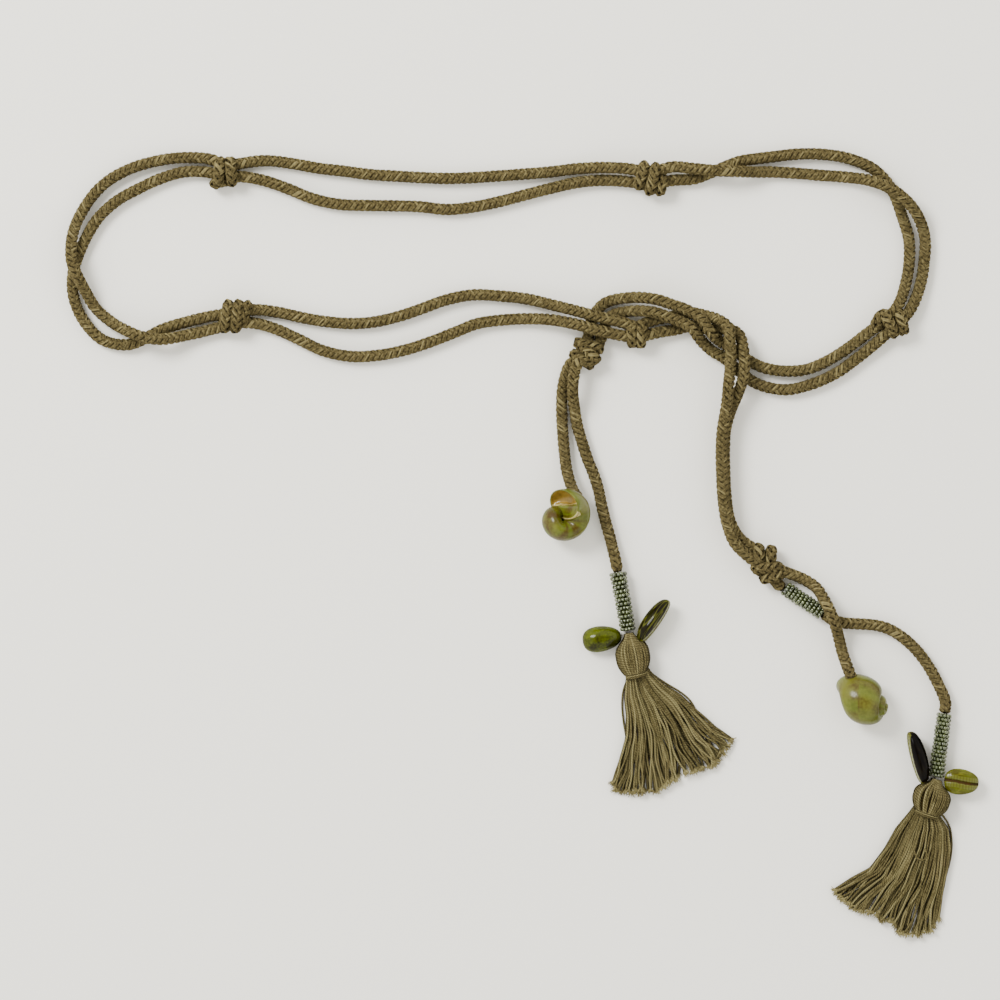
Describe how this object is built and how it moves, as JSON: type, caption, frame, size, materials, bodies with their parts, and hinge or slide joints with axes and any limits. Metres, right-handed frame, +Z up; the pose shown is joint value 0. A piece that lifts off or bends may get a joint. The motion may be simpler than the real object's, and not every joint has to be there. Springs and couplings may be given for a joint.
{
  "type": "rope belt",
  "caption": "Knotted belt of doubled braided cord with hanging ends that carry snail shells, bead sleeves, cowrie shells and fringed tassels, laid flat.",
  "frame": {"origin": "under the middle of the belt's outline, on the surface it lies on", "axes": "+X to the right and +Y to the back of the waist as laid out, +Z up from the surface"},
  "size_m": [0.4552, 0.3922, 0.0244],
  "materials": {
    "cotton_rope": "matte braided cotton, olive khaki",
    "glass_beads": "opaque metallic green glass seed beads",
    "snail_shell": "polished green shell",
    "cowrie_shell": "glossy dyed green shell",
    "tassel_thread": "matte twisted cotton threads"
  },
  "bodies": {
    "root": {"back_rope_a": "cotton_rope", "back_rope_b": "cotton_rope", "right_rope_a": "cotton_rope", "right_rope_b": "cotton_rope", "closing_rope_a": "cotton_rope", "closing_rope_b": "cotton_rope", "left_rope_a": "cotton_rope", "left_rope_b": "cotton_rope", "front_rope_a": "cotton_rope", "front_rope_b": "cotton_rope", "hanging_rope_a": "cotton_rope", "hanging_rope_b": "cotton_rope", "tail_to_left_shell": "cotton_rope", "tail_to_left_tassel": "cotton_rope", "tail_to_right_shell": "cotton_rope", "tail_to_right_tassel": "cotton_rope", "knot_back_left": "cotton_rope", "knot_back_middle": "cotton_rope", "knot_right": "cotton_rope", "knot_front": "cotton_rope", "knot_left": "cotton_rope", "knot_left_tails": "cotton_rope", "knot_right_tails": "cotton_rope", "bead_sleeve_left": "glass_beads", "bead_sleeve_right_upper": "glass_beads", "bead_sleeve_right_lower": "glass_beads", "snail_shell_left": "snail_shell", "snail_shell_right": "snail_shell", "cowrie_left_flat": "cowrie_shell", "cowrie_left_edge": "cowrie_shell", "cowrie_right_edge": "cowrie_shell", "cowrie_right_open": "cowrie_shell", "tassel_left": "tassel_thread", "tassel_right": "tassel_thread"}
  },
  "joints": []
}
